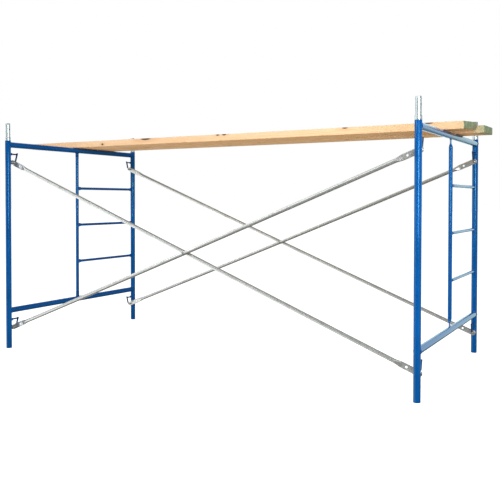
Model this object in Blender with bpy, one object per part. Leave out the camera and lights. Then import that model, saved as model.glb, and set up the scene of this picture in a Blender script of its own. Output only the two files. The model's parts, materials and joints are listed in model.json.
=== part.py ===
"""One bay of tubular steel frame scaffold, with two timber planks on top.

Two welded ladder frames stand across the bay. Two pairs of riveted cross braces hang on studs
on the legs, each stud closed by a drop lock. A coupling pin stands in the top of every leg, and
two planks lie on the top rails.

X runs along the bay, Y across it from the near side to the far side, and Z is up. The origin is
on the floor under the middle of the whole outline, planks included.
"""
import math

import bpy
import bmesh
from mathutils import Matrix, Vector

# Driving dimensions, in metres
GAP = 0.0003                  # kept between pieces that touch
BAY_LENGTH = 3.048            # leg axis to leg axis along the bay
FRAME_WIDTH = 1.481           # leg axis to leg axis across a frame
LEG_HEIGHT = 1.524
LEG_RADIUS = 0.02065
LEG_WALL = 0.0024
TOP_RAIL_Z = 1.495
BOTTOM_RAIL_Z = 0.276
RUNG_PITCH = 0.299            # step between rungs; the middle one is midway between the rails
RUNG_COUNT = 3
RUNG_RADIUS = 0.0103
STILE_RADIUS = 0.0127
THIN_WALL = 0.002             # wall of the stiles, rungs and braces
FLAT_SLIT = 0.0006            # slit left inside a flattened tube end
STILE_FLAT = 0.022            # length that is pressed fully flat, at each end
STILE_FLARE = 0.030           # length over which the tube turns from flat to round
RUNG_FLAT = 0.008
RUNG_FLARE = 0.030

STUD_LOW_Z = 0.148
STUD_PITCH = 1.2192           # lower stud to upper stud
LOCK_RISE = 0.060             # lock arm above its stud
STUD_SHOULDER_RADIUS = 0.0135
STUD_RADIUS = 0.0063
SHOULDER_REACH = 0.0385       # leg axis to the face that the brace end rests on
STUD_REACH = 0.068            # leg axis to the tip of the stud
STUD_CHAMFER = 0.002

BRACE_RADIUS = 0.0127
BRACE_SAG = 0.008             # droop of each brace at its middle, under its own weight
BRACE_PLANE = 0.0413          # leg axis to the mid-plane of the flattened brace ends
BRACE_EYE_RADIUS = 0.0185     # rounding of the flattened end around its stud hole
BRACE_EYE_ANGLES = (35, 60, 90)    # from the tip round to the side, in degrees
BRACE_HOLE_RADIUS = 0.0071
BRACE_SECOND_HOLE = 0.0762    # second hole, inboard of the stud hole
BRACE_FLAT = 0.098            # stud hole to the end of the flat
BRACE_FLARE = 0.055
RIVET_RADIUS = 0.0045
RIVET_HOLE_RADIUS = 0.0051
RIVET_HEAD_RADIUS = 0.0095
RIVET_HEAD_HEIGHT = 0.006

LOCK_ROD_RADIUS = 0.0055
LOCK_HOLE_RADIUS = 0.0061
LOCK_HEAD_RADIUS = 0.0085
LOCK_HEAD_LENGTH = 0.0035
LOCK_HEAD_CHAMFER = 0.001
LOCK_REACH = 0.087            # leg axis to the middle of the stem's top
LOCK_STEM_TOP = 0.009         # stem above the arm's axis
LOCK_STEM_DROP = 0.050        # stem below the arm's axis
LOCK_STEM_LEAN = 0.018        # how far the stem leans back towards the leg
LOCK_STEM_RADIUS = 0.006
BRACKET_WIDTH = 0.026
BRACKET_HEIGHT = 0.017
BRACKET_PLATE = 0.003
BRACKET_FACE = 0.0312         # leg axis to the bracket's outer face

PIN_RADIUS = 0.0175
PIN_BORE_RADIUS = 0.0148
PIN_LENGTH = 0.1016           # each way from the collar
PIN_COLLAR_HEIGHT = 0.0254
PIN_COLLAR_RADIUS = 0.0206
PIN_COLLAR_SLOPE = 0.005
PIN_COLLAR_TOP_RADIUS = 0.0192   # flat top of the collar, which carries the next frame's leg
PIN_TIP_LENGTH = 0.014
PIN_TIP_RADIUS = 0.0158
PIN_HOLE_INSET = 0.044        # cross hole below the pin's end
PIN_HOLE_RADIUS = 0.0058

PLANK_LENGTH = 3.658
PLANK_WIDTHS = {"near": 0.290, "far": 0.205}
PLANK_THICKNESS = 0.047
PLANK_EDGE = 0.003            # eased edges
PLANK_SPACE = 0.030           # between the two planks
PLANK_SKEW = math.radians(-3.14)
PLANK_OVERHANG = 0.128        # near plank's end past the right frame, at its near corner
PLANK_STAGGER = 0.040         # how much further right the far plank lies
PLANK_NEAR_EDGE = 0.693       # near leg axis to the near plank's edge, measured at the left frame
PLANK_TWISTS = {"near": math.radians(3.4), "far": 0.0}    # how far the right end has warped
PLANK_TWIST_REACH = 1.6       # length from the right end over which it comes in

LEG_SIDES = 20
PIN_SIDES = 16
TUBE_SIDES = 12
HOLE_SIDES = 10
CUTTER_SIDES = 24
SHARP_ANGLE = math.radians(35)

HALF_WIDTH = FRAME_WIDTH / 2
INSIDE_LEG = LEG_RADIUS * 0.65    # depth from which welded pieces are drawn, before they are coped
LOCK_LEVELS = {"lower": STUD_LOW_Z, "upper": STUD_LOW_Z + STUD_PITCH}
FRAME_SIGNS = {"left": -1, "right": 1}
LEG_SIGNS = {"near": -1, "far": 1}

STEEL_BLUE = (0.010, 0.062, 0.330)
GALVANISED = (0.50, 0.52, 0.51)
ZINC = (0.66, 0.69, 0.69)
TIMBER = (0.78, 0.55, 0.30)


BAY_X = 0.141154              # puts the middle of the whole outline, planks included, over the origin


def clear_scene():
    """Remove every object that the file holds."""
    for item in list(bpy.data.objects):
        bpy.data.objects.remove(item, do_unlink=True)


def make_material(name, colour, metallic, roughness):
    """A Principled material of one colour."""
    made = bpy.data.materials.new(name)
    made.use_nodes = True
    shader = made.node_tree.nodes["Principled BSDF"]
    shader.inputs["Base Color"].default_value = (*colour, 1.0)
    shader.inputs["Metallic"].default_value = metallic
    shader.inputs["Roughness"].default_value = roughness
    return made


def add_object(name, mesh, material=None):
    """Put a mesh into the scene under a name, smooth apart from its sharp edges."""
    made = bpy.data.objects.new(name, mesh)
    bpy.context.scene.collection.objects.link(made)
    if material is not None:
        mesh.materials.clear()
        mesh.materials.append(material)
        mesh.shade_smooth()
        mesh.set_sharp_from_angle(angle=SHARP_ANGLE)
    return made


def place(item, location, turn=(0.0, 0.0, 0.0)):
    """Set an object's place and its turn, in degrees about X, Y and Z."""
    item.location = location
    item.rotation_euler = [math.radians(angle) for angle in turn]
    return item


def outline(z, half_wide, half_thin, shift, sides):
    """Points of a round or flattened section at height z, wide along X and thin along Y."""
    points = []
    for index in range(sides):
        angle = (index + 0.5) * math.tau / sides
        side = math.copysign(half_wide - half_thin, math.cos(angle))
        points.append((side + half_thin * math.cos(angle), shift + half_thin * math.sin(angle), z))
    return points


def mesh_of_rings(name, rings, capped):
    """Skin a row of equal rings: with caps at both ends, or closed round on itself as a tube."""
    build = bmesh.new()
    loops = [[build.verts.new(point) for point in ring] for ring in rings]
    pairs = list(zip(loops, loops[1:]))
    if not capped:
        pairs.append((loops[-1], loops[0]))
    for lower, upper in pairs:
        for index in range(len(lower)):
            after = (index + 1) % len(lower)
            build.faces.new((lower[index], lower[after], upper[after], upper[index]))
    if capped:
        build.faces.new(list(reversed(loops[0])))
        build.faces.new(loops[-1])
    bmesh.ops.recalc_face_normals(build, faces=build.faces)
    mesh = bpy.data.meshes.new(name)
    build.to_mesh(mesh)
    build.free()
    return mesh


def tube_mesh(name, outer, inner, wall, sides):
    """An open-ended tube: stations are (z, half_wide, half_thin, shift), bottom to top."""
    rings = [outline(*station, sides) for station in outer]
    for z, half_wide, half_thin, shift in reversed(inner):
        rings.append(outline(z, half_wide - wall, half_thin - wall, shift, sides))
    return mesh_of_rings(name, rings, capped=False)


def turned_mesh(name, profile, sides):
    """A solid turned about Z from (z, radius) pairs."""
    rings = [outline(z, radius, radius, 0.0, sides) for z, radius in profile]
    return mesh_of_rings(name, rings, capped=True)


def box_mesh(name, low, high):
    """A box between two corners."""
    build = bmesh.new()
    bmesh.ops.create_cube(build, size=1.0)
    size = Vector(high) - Vector(low)
    middle = (Vector(high) + Vector(low)) / 2
    grow = Matrix.Translation(middle) @ Matrix.Diagonal((*size, 1.0))
    bmesh.ops.transform(build, matrix=grow, verts=build.verts)
    mesh = bpy.data.meshes.new(name)
    build.to_mesh(mesh)
    build.free()
    return mesh


def rod_between(name, start, end, radius, sides):
    """A plain round rod from one point to another."""
    span = Vector(end) - Vector(start)
    mesh = turned_mesh(name, [(0.0, radius), (span.length, radius)], sides)
    mesh.transform(Matrix.Translation(start) @ span.to_track_quat("Z", "Y").to_matrix().to_4x4())
    return mesh


def hide_helper(item):
    """Mark an object as a cutter that is no piece of its own."""
    item.hide_render = True
    item.display_type = "WIRE"
    return item


def combined(name, mesh, operation, others):
    """One mesh that is the base mesh cut by, or joined with, the others."""
    base = hide_helper(add_object(name + "_base", mesh))
    helpers = [hide_helper(add_object(name + "_helper", other)) for other in others]
    for helper in helpers:
        step = base.modifiers.new("step", "BOOLEAN")
        step.operation = operation
        step.solver = "EXACT"
        step.object = helper
    graph = bpy.context.evaluated_depsgraph_get()
    result = bpy.data.meshes.new_from_object(base.evaluated_get(graph))
    result.name = name
    for item in [base, *helpers]:
        bpy.data.objects.remove(item, do_unlink=True)
    return result


def upright_cutter(name, radius, x=0.0, y=0.0, low=-0.2, high=0.2):
    """A vertical round cutter whose flats stay clear of a round face of the given radius."""
    reach = (radius + GAP) / math.cos(math.pi / CUTTER_SIDES)
    return rod_between(name, (x, y, low), (x, y, high), reach, CUTTER_SIDES)


# The welded frames

def make_leg(name, x, y, paint):
    """One leg: a plain open tube, standing on its lower end."""
    ends = [(0.0, LEG_RADIUS, LEG_RADIUS, 0.0), (LEG_HEIGHT, LEG_RADIUS, LEG_RADIUS, 0.0)]
    leg = add_object(name, tube_mesh(name, ends, ends, LEG_WALL, LEG_SIDES), paint)
    return place(leg, (x, y, 0.0))


def rail_mesh():
    """A rail along Y between two legs, its open ends coped to fit them."""
    ends = [(-HALF_WIDTH, LEG_RADIUS, LEG_RADIUS, 0.0), (HALF_WIDTH, LEG_RADIUS, LEG_RADIUS, 0.0)]
    mesh = tube_mesh("rail", ends, ends, LEG_WALL, LEG_SIDES)
    mesh.transform(Matrix.Rotation(math.radians(-90), 4, "X"))
    cutters = []
    for side in LEG_SIGNS.values():
        cutters.append(upright_cutter("leg_cutter", LEG_RADIUS, y=side * HALF_WIDTH))
    return combined("rail", mesh, "DIFFERENCE", cutters)


def flattened_stations(length, radius, flat, flare, steps):
    """Stations of a straight tube that is pressed flat at both ends."""
    thin = THIN_WALL + FLAT_SLIT / 2
    wide = math.pi * radius / 2 - thin * (math.pi / 2 - 1)
    lower = [(0.0, wide, thin, 0.0)]
    for step in range(steps + 1):
        along = step / steps
        ease = along * along * (3 - 2 * along)
        half_wide = wide + (radius - wide) * ease
        lower.append((flat + flare * along, half_wide, thin + (radius - thin) * ease, 0.0))
    upper = [(length - station[0], *station[1:]) for station in reversed(lower)]
    return lower + upper


def make_stile(name, x, paint):
    """The upright that carries the rungs, pressed flat where it meets the rails."""
    low = BOTTOM_RAIL_Z + LEG_RADIUS + GAP
    high = TOP_RAIL_Z - LEG_RADIUS - GAP
    outer = flattened_stations(high - low, STILE_RADIUS, STILE_FLAT, STILE_FLARE, 2)
    inner = flattened_stations(high - low, STILE_RADIUS, STILE_FLAT, STILE_FLARE, 1)
    mesh = tube_mesh(name, outer, inner, THIN_WALL, TUBE_SIDES)
    mesh.transform(Matrix.Rotation(math.radians(90), 4, "Z"))
    return place(add_object(name, mesh, paint), (x, 0.0, low))


def rung_mesh():
    """A rung along Y from the stile to the far leg, pressed flat at both ends, tall in Z."""
    start = STILE_RADIUS + GAP
    end = HALF_WIDTH - LEG_RADIUS - GAP
    outer = flattened_stations(end - start, RUNG_RADIUS, RUNG_FLAT, RUNG_FLARE, 2)
    inner = flattened_stations(end - start, RUNG_RADIUS, RUNG_FLAT, RUNG_FLARE, 1)
    mesh = tube_mesh("rung", outer, inner, THIN_WALL, TUBE_SIDES)
    mesh.transform(Matrix(((0, 1, 0, 0), (0, 0, 1, start), (1, 0, 0, 0), (0, 0, 0, 1))))
    return mesh


def make_frames(paint):
    """Both welded end frames, tube by tube."""
    rail = rail_mesh()
    rung = rung_mesh()
    middle_z = (TOP_RAIL_Z + BOTTOM_RAIL_Z) / 2
    for frame, sign in FRAME_SIGNS.items():
        x = BAY_X + sign * BAY_LENGTH / 2
        for leg, side in LEG_SIGNS.items():
            make_leg(f"leg_{frame}_{leg}", x, side * HALF_WIDTH, paint)
        for level, z in (("top", TOP_RAIL_Z), ("bottom", BOTTOM_RAIL_Z)):
            place(add_object(f"{level}_rail_{frame}", rail, paint), (x, 0.0, z))
        make_stile(f"ladder_stile_{frame}", x, paint)
        for index in range(1, RUNG_COUNT + 1):
            z = middle_z + (index - (RUNG_COUNT + 1) / 2) * RUNG_PITCH
            place(add_object(f"rung_{frame}_{index}", rung, paint), (x, 0.0, z))


# Brace studs and their drop locks, drawn on a leg at the origin and pointing along +Y

def along_y(mesh):
    """Turn a mesh that was drawn along Z so that it points along +Y."""
    mesh.transform(Matrix.Rotation(math.radians(-90), 4, "X"))
    return mesh


def stud_mesh():
    """A brace stud: a coped shoulder and a chamfered shank."""
    profile = [
        (INSIDE_LEG, STUD_SHOULDER_RADIUS),
        (SHOULDER_REACH, STUD_SHOULDER_RADIUS),
        (SHOULDER_REACH, STUD_RADIUS),
        (STUD_REACH - STUD_CHAMFER, STUD_RADIUS),
        (STUD_REACH, STUD_RADIUS - STUD_CHAMFER),
    ]
    mesh = along_y(turned_mesh("brace_stud", profile, TUBE_SIDES))
    return combined("brace_stud", mesh, "DIFFERENCE", [upright_cutter("leg_cutter", LEG_RADIUS)])


def bracket_mesh():
    """The welded channel that a lock's arm turns in."""
    half = BRACKET_WIDTH / 2
    tall = BRACKET_HEIGHT / 2
    block = box_mesh("lock_bracket", (-half, INSIDE_LEG, -tall), (half, BRACKET_FACE, tall))
    inside = box_mesh(
        "bracket_inside",
        (BRACKET_PLATE - half, 0.0, -BRACKET_HEIGHT),
        (half - BRACKET_PLATE, BRACKET_FACE - BRACKET_PLATE, BRACKET_HEIGHT),
    )
    through = (0.0, LOCK_REACH, 0.0)
    hole = rod_between("bracket_hole", (0.0, 0.0, 0.0), through, LOCK_HOLE_RADIUS, TUBE_SIDES)
    cutters = [upright_cutter("leg_cutter", LEG_RADIUS), inside, hole]
    return combined("lock_bracket", block, "DIFFERENCE", cutters)


def lock_mesh():
    """A drop lock: a headed arm along +Y and a stem that hangs in front of the stud's tip."""
    head_end = BRACKET_FACE - BRACKET_PLATE - GAP
    head_start = head_end - LOCK_HEAD_LENGTH
    profile = [
        (head_start, LOCK_HEAD_RADIUS - LOCK_HEAD_CHAMFER),
        (head_start + LOCK_HEAD_CHAMFER, LOCK_HEAD_RADIUS),
        (head_end, LOCK_HEAD_RADIUS),
        (head_end, LOCK_ROD_RADIUS),
        (LOCK_REACH, LOCK_ROD_RADIUS),
    ]
    arm = along_y(turned_mesh("brace_lock", profile, TUBE_SIDES))
    slope = LOCK_STEM_LEAN / (LOCK_STEM_TOP + LOCK_STEM_DROP)
    top = (0.0, LOCK_REACH + slope * LOCK_STEM_TOP, LOCK_STEM_TOP)
    bottom = (0.0, LOCK_REACH - slope * LOCK_STEM_DROP, -LOCK_STEM_DROP)
    stem = rod_between("lock_stem", top, bottom, LOCK_STEM_RADIUS, TUBE_SIDES)
    return combined("brace_lock", arm, "UNION", [stem])


def make_stud_sets(paint, zinc):
    """A stud, a bracket and a lock at two levels on every leg."""
    stud = stud_mesh()
    bracket = bracket_mesh()
    lock = lock_mesh()
    for frame, sign in FRAME_SIGNS.items():
        for leg, side in LEG_SIGNS.items():
            for level, z in LOCK_LEVELS.items():
                label = f"{frame}_{leg}_{level}"
                spot = Vector((BAY_X + sign * BAY_LENGTH / 2, side * HALF_WIDTH, z))
                arm_spot = spot + Vector((0.0, 0.0, LOCK_RISE))
                turn = (0.0, 0.0, 0.0 if side < 0 else 180.0)
                place(add_object(f"brace_stud_{label}", stud, zinc), spot, turn)
                place(add_object(f"lock_bracket_{label}", bracket, paint), arm_spot, turn)
                place(add_object(f"brace_lock_{label}", lock, paint), arm_spot, turn)


# Cross braces

def brace_bow(along, half_length):
    """How far a brace has sprung sideways, to pass its partner at the rivet."""
    reach = 1 - abs(along) / half_length
    return (BRACE_RADIUS + GAP) * (3 * reach - reach ** 3) / 2


def brace_stations(half_length, flare_steps, bow_steps):
    """Stations of one half of a brace, from its tip to the rivet."""
    thin = THIN_WALL + FLAT_SLIT / 2
    stations = []
    tip = math.cos(math.radians(BRACE_EYE_ANGLES[0]))
    for angle in (math.radians(degrees) for degrees in BRACE_EYE_ANGLES):
        reach = BRACE_EYE_RADIUS * math.cos(angle) / tip
        stations.append((half_length + reach, BRACE_EYE_RADIUS * math.sin(angle), thin))
    for step in range(flare_steps + 1):
        along = step / flare_steps
        ease = along * along * (3 - 2 * along)
        wide = BRACE_EYE_RADIUS + (BRACE_RADIUS - BRACE_EYE_RADIUS) * ease
        half_thin = thin + (BRACE_RADIUS - thin) * ease
        stations.append((half_length - BRACE_FLAT - BRACE_FLARE * along, wide, half_thin))
    free = half_length - BRACE_FLAT - BRACE_FLARE
    for step in range(1, bow_steps):
        stations.append((free * (1 - step / bow_steps), BRACE_RADIUS, BRACE_RADIUS))
    return stations


def whole_brace(half_length, flare_steps, bow_steps):
    """Stations of a whole brace along Z, with its sideways spring as the shift along Y."""
    half = brace_stations(half_length, flare_steps, bow_steps)
    middle = [(0.0, BRACE_RADIUS, BRACE_RADIUS)]
    row = [(-z, wide, thin) for z, wide, thin in half] + middle + half[::-1]
    placed = []
    for z, wide, thin in row:
        shift = 0.0 if abs(z) >= half_length else brace_bow(z, half_length)
        placed.append((z, wide, thin, shift))
    return placed


def let_sag(mesh, half_span):
    """Lower a mesh that spans -half_span to half_span along X, as its own weight bends it."""
    for vertex in mesh.vertices:
        square = (vertex.co.x / half_span) ** 2
        vertex.co.z -= BRACE_SAG * (1 - square) * (5 - square) / 5


def brace_mesh():
    """A brace that falls towards +X, centred between its studs, pressed flat and pierced twice
    at each end."""
    half_length = math.hypot(BAY_LENGTH, STUD_PITCH) / 2
    outer = whole_brace(half_length, 3, 3)
    inner = whole_brace(half_length, 1, 2)
    mesh = tube_mesh("cross_brace", outer, inner, THIN_WALL, TUBE_SIDES)
    mesh.transform(Matrix(((0, 0, 1, 0), (0, 1, 0, 0), (-1, 0, 0, 0), (0, 0, 0, 1))))
    holes = [(0.0, RIVET_HOLE_RADIUS)]
    for side in (-1, 1):
        holes.append((side * half_length, BRACE_HOLE_RADIUS))
        holes.append((side * (half_length - BRACE_SECOND_HOLE), BRACE_HOLE_RADIUS))
    reach = 4 * BRACE_RADIUS
    cutters = []
    for x, radius in holes:
        cutters.append(rod_between("brace_hole", (x, -reach, 0.0), (x, reach, 0.0), radius, HOLE_SIDES))
    pierced = combined("cross_brace", mesh, "DIFFERENCE", cutters)
    pierced.transform(Matrix.Rotation(math.atan2(STUD_PITCH, BAY_LENGTH), 4, "Y"))
    let_sag(pierced, BAY_LENGTH / 2)
    return pierced


def rivet_mesh():
    """A rivet along Y with a low dome at each end, long enough for both tubes."""
    under = 2 * (BRACE_RADIUS + GAP) + GAP
    dome = [
        (under, RIVET_RADIUS),
        (under, RIVET_HEAD_RADIUS),
        (under + RIVET_HEAD_HEIGHT * 0.6, RIVET_HEAD_RADIUS * 0.8),
        (under + RIVET_HEAD_HEIGHT, RIVET_HEAD_RADIUS * 0.35),
    ]
    profile = [(-z, radius) for z, radius in dome[::-1]] + dome
    return along_y(turned_mesh("brace_rivet", profile, TUBE_SIDES))


def make_braces(galvanised, zinc):
    """Both pairs of cross braces, each riveted at its crossing."""
    brace = brace_mesh()
    rivet = rivet_mesh()
    for pair, side in LEG_SIGNS.items():
        middle = Vector((BAY_X, side * (HALF_WIDTH - BRACE_PLANE), STUD_LOW_Z + STUD_PITCH / 2))
        place(add_object(f"cross_brace_{pair}_falling", brace, galvanised), middle)
        place(add_object(f"cross_brace_{pair}_rising", brace, galvanised), middle, (0.0, 0.0, 180.0))
        crossing = middle - Vector((0.0, 0.0, BRACE_SAG))
        place(add_object(f"brace_rivet_{pair}", rivet, zinc), crossing)


# Coupling pins

def pin_mesh():
    """A coupling pin: an open tube with a collar round its middle and a cross hole in each half."""
    half_collar = PIN_COLLAR_HEIGHT / 2
    end = half_collar + PIN_LENGTH
    upper = [
        (half_collar - PIN_COLLAR_SLOPE, PIN_COLLAR_RADIUS),
        (half_collar, PIN_COLLAR_TOP_RADIUS),
        (half_collar, PIN_RADIUS),
        (end - PIN_TIP_LENGTH, PIN_RADIUS),
        (end, PIN_TIP_RADIUS),
    ]
    lower = [
        (-end, PIN_TIP_RADIUS),
        (PIN_TIP_LENGTH - end, PIN_RADIUS),
        (-half_collar, PIN_RADIUS),
        (-half_collar, PIN_COLLAR_RADIUS),
    ]
    bore = [(end, PIN_BORE_RADIUS), (-end, PIN_BORE_RADIUS)]
    rings = [outline(z, radius, radius, 0.0, PIN_SIDES) for z, radius in lower + upper + bore]
    mesh = mesh_of_rings("coupling_pin", rings, capped=False)
    reach = PIN_COLLAR_RADIUS * 2
    cutters = []
    for z in (PIN_HOLE_INSET - end, end - PIN_HOLE_INSET):
        cutter = rod_between("pin_hole", (-reach, 0.0, z), (reach, 0.0, z), PIN_HOLE_RADIUS, HOLE_SIDES)
        cutters.append(cutter)
    return combined("coupling_pin", mesh, "DIFFERENCE", cutters)


def make_pins(zinc):
    """A coupling pin in the top of every leg, its collar resting on the leg."""
    pin = pin_mesh()
    z = LEG_HEIGHT + GAP + PIN_COLLAR_HEIGHT / 2
    for frame, sign in FRAME_SIGNS.items():
        for leg, side in LEG_SIGNS.items():
            x = BAY_X + sign * BAY_LENGTH / 2
            place(add_object(f"coupling_pin_{frame}_{leg}", pin, zinc), (x, side * HALF_WIDTH, z))


# Planks

def eased_section(wide, high, inset):
    """Points round a rectangle with twice-cut corners, drawn in by an inset."""
    points = []
    corners = [(wide, high, 0), (0.0, high, 90), (0.0, 0.0, 180), (wide, 0.0, 270)]
    for y, z, begin in corners:
        y += math.copysign(PLANK_EDGE, wide / 2 - y)
        z += math.copysign(PLANK_EDGE, high / 2 - z)
        for angle in (begin, begin + 45, begin + 90):
            reach = PLANK_EDGE - inset
            points.append((y + reach * math.cos(math.radians(angle)),
                           z + reach * math.sin(math.radians(angle))))
    return points


def plank_mesh(name, wide, twist):
    """A plank from x = -length to 0, which leans about its near lower edge towards its right end."""
    stations = [(-PLANK_LENGTH, PLANK_EDGE / 2), (-PLANK_LENGTH + PLANK_EDGE / 2, 0.0)]
    if twist:
        steps = 12
        stations += [(-PLANK_TWIST_REACH * (1 - step / steps), 0.0) for step in range(steps)]
    stations += [(-PLANK_EDGE / 2, 0.0), (0.0, PLANK_EDGE / 2)]
    rings = []
    for x, inset in stations:
        turn = twist * max(0.0, 1 + x / PLANK_TWIST_REACH) ** 2
        ring = []
        for y, z in eased_section(wide, PLANK_THICKNESS, inset):
            ring.append((x, y * math.cos(turn) - z * math.sin(turn),
                         y * math.sin(turn) + z * math.cos(turn)))
        rings.append(ring)
    return mesh_of_rings(name, rings, capped=True)


def make_planks(timber):
    """Two planks side by side on the top rails, lying slightly askew."""
    low = TOP_RAIL_Z + LEG_RADIUS + GAP
    edge_y = PLANK_NEAR_EDGE - HALF_WIDTH + (BAY_LENGTH + PLANK_OVERHANG) * math.tan(PLANK_SKEW)
    corner = Vector((BAY_X + BAY_LENGTH / 2 + PLANK_OVERHANG, edge_y, low))
    turn = Matrix.Rotation(PLANK_SKEW, 3, "Z")
    for name, wide in PLANK_WIDTHS.items():
        mesh = plank_mesh(f"plank_{name}", wide, PLANK_TWISTS[name])
        place(add_object(f"plank_{name}", mesh, timber), corner, (0.0, 0.0, math.degrees(PLANK_SKEW)))
        corner = corner + turn @ Vector((PLANK_STAGGER, wide + PLANK_SPACE, 0.0))


def main():
    """Build the whole bay."""
    clear_scene()
    paint = make_material("blue_paint", STEEL_BLUE, 0.0, 0.35)
    galvanised = make_material("galvanised_steel", GALVANISED, 0.85, 0.45)
    zinc = make_material("zinc_plate", ZINC, 0.9, 0.35)
    timber = make_material("timber", TIMBER, 0.0, 0.75)
    make_frames(paint)
    make_stud_sets(paint, zinc)
    make_braces(galvanised, zinc)
    make_pins(zinc)
    make_planks(timber)


main()
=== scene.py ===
"""Looks of one bay of tubular steel frame scaffold, with two timber planks on top.

Every CAD node is replaced by a finer piece in the same place: welded and painted tubes, galvanised
cross braces, turned studs, drop locks, coupling pins and sawn planks. Lengths are in metres.
"""

import json
import math

import bmesh
import bpy
from mathutils import Matrix, Vector, noise

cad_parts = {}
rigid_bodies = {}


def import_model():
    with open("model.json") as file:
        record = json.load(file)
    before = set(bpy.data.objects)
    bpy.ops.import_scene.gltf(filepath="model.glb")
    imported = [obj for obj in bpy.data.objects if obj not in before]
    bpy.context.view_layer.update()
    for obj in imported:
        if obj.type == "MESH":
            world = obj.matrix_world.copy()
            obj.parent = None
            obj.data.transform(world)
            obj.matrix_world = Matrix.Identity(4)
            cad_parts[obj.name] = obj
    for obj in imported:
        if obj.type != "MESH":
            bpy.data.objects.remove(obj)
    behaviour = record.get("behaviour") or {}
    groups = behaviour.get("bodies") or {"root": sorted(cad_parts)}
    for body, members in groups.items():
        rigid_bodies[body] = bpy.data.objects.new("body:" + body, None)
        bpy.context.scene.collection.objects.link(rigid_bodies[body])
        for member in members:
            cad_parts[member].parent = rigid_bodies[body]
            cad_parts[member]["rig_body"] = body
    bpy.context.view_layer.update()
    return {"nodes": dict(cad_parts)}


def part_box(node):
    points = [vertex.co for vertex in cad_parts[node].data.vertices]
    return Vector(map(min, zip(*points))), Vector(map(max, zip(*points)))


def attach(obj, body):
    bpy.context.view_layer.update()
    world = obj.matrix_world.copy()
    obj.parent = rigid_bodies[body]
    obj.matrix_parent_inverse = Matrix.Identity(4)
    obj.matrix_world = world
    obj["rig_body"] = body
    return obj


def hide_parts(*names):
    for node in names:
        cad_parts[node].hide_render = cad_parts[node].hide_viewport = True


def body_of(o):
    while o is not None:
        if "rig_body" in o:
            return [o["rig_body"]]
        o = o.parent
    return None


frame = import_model()

# Sections that the pieces share with the CAD nodes
GAP = 0.0003
LEG_RADIUS = 0.02065
LEG_WALL = 0.0024
RUNG_RADIUS = 0.0103
STILE_RADIUS = 0.0127
THIN_WALL = 0.002
FLAT_SLIT = 0.0006
STILE_FLAT, STILE_FLARE = 0.022, 0.030
RUNG_FLAT, RUNG_FLARE = 0.008, 0.030
STUD_SHOULDER_RADIUS = 0.0135
STUD_RADIUS = 0.0063
SHOULDER_REACH = 0.0385
STUD_REACH = 0.068
BRACE_RADIUS = 0.0127
BRACE_SAG = 0.008
BRACE_PLANE = 0.0413
BRACE_EYE_RADIUS = 0.0185
BRACE_HOLE_RADIUS = 0.0071
BRACE_SECOND_HOLE = 0.0762
BRACE_FLAT, BRACE_FLARE = 0.098, 0.055
RIVET_RADIUS = 0.0045
RIVET_HOLE_RADIUS = 0.0051
RIVET_HEAD_RADIUS = 0.0095
RIVET_HEAD_HEIGHT = 0.006
LOCK_ROD_RADIUS = 0.0055
LOCK_HOLE_RADIUS = 0.0061
LOCK_HEAD_RADIUS = 0.0085
LOCK_HEAD_LENGTH = 0.0035
LOCK_REACH = 0.087
LOCK_STEM_TOP = 0.009
LOCK_STEM_DROP = 0.050
LOCK_STEM_LEAN = 0.018
LOCK_STEM_RADIUS = 0.006
BRACKET_WIDTH = 0.026
BRACKET_HEIGHT = 0.017
BRACKET_PLATE = 0.003
BRACKET_FACE = 0.0312
BRACKET_BEND = 0.0045
PIN_RADIUS = 0.0175
PIN_BORE_RADIUS = 0.0148
PIN_LENGTH = 0.1016
PIN_COLLAR_HEIGHT = 0.0254
PIN_COLLAR_RADIUS = 0.0206
PIN_COLLAR_SLOPE = 0.005
PIN_COLLAR_TOP_RADIUS = 0.0192
PIN_TIP_LENGTH = 0.014
PIN_TIP_RADIUS = 0.0158
PIN_HOLE_INSET = 0.044
PIN_HOLE_RADIUS = 0.0058
PLANK_LENGTH = 3.658
PLANK_WIDTHS = {"near": 0.290, "far": 0.205}
PLANK_THICKNESS = 0.047
PLANK_SKEW = math.radians(-3.14)
PLANK_SPACE = 0.030
PLANK_OVERHANG = 0.128
PLANK_STAGGER = 0.040
PLANK_NEAR_EDGE = 0.693
PLANK_TWISTS = {"near": math.radians(3.4), "far": 0.0}
PLANK_TWIST_REACH = 1.6

# Edges, welds and wear that the CAD nodes leave out
LEG_EASE = 0.0006
RAIL_BEAD = 0.0026
FLAT_BEAD = 0.0019
STUD_BEAD = 0.0020
BRACKET_BEAD = 0.0018
LOCK_BEAD = 0.0013
BEAD_RIPPLE = 0.0036
PLANK_ARRIS = 0.003
PLANK_SAG = 0.0016
PLANK_NICK = 0.0055
PLANK_WAVE = 0.0006
END_CHECKS = 6

# Fineness of the pieces
LEG_SIDES = 48
TUBE_SIDES = 32
SMALL_SIDES = 24
BEAD_SIDES = 8
SADDLE_POINTS = 72
PLANK_STATIONS = 300
SHARP_ANGLE = math.radians(38)

# Colours, as linear red, green and blue
SCUFFED_PAINT = (0.11, 0.20, 0.36)
DUST = (0.42, 0.43, 0.42)
BARE_STEEL = (0.20, 0.20, 0.21)
RUST = (0.16, 0.062, 0.022)
ZINC_SHADES = ((0.50, 0.525, 0.51), (0.59, 0.615, 0.60))
ZINC_STREAK = (0.68, 0.70, 0.685)
ZINC_DULL = (0.40, 0.405, 0.375)
ZINC_SMUDGE = (0.20, 0.185, 0.155)
PALE_FIBRE = (0.95, 0.74, 0.50)
WOOD_STAIN = (0.34, 0.25, 0.17)
KNOT_BROWNS = ((0.045, 0.020, 0.009), (0.13, 0.058, 0.024))
KNOT_HALO = (0.55, 0.27, 0.10)
END_GREENS = ((0.110, 0.215, 0.125), (0.185, 0.290, 0.185))
RINGS_PER_METRE = 190.0

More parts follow.
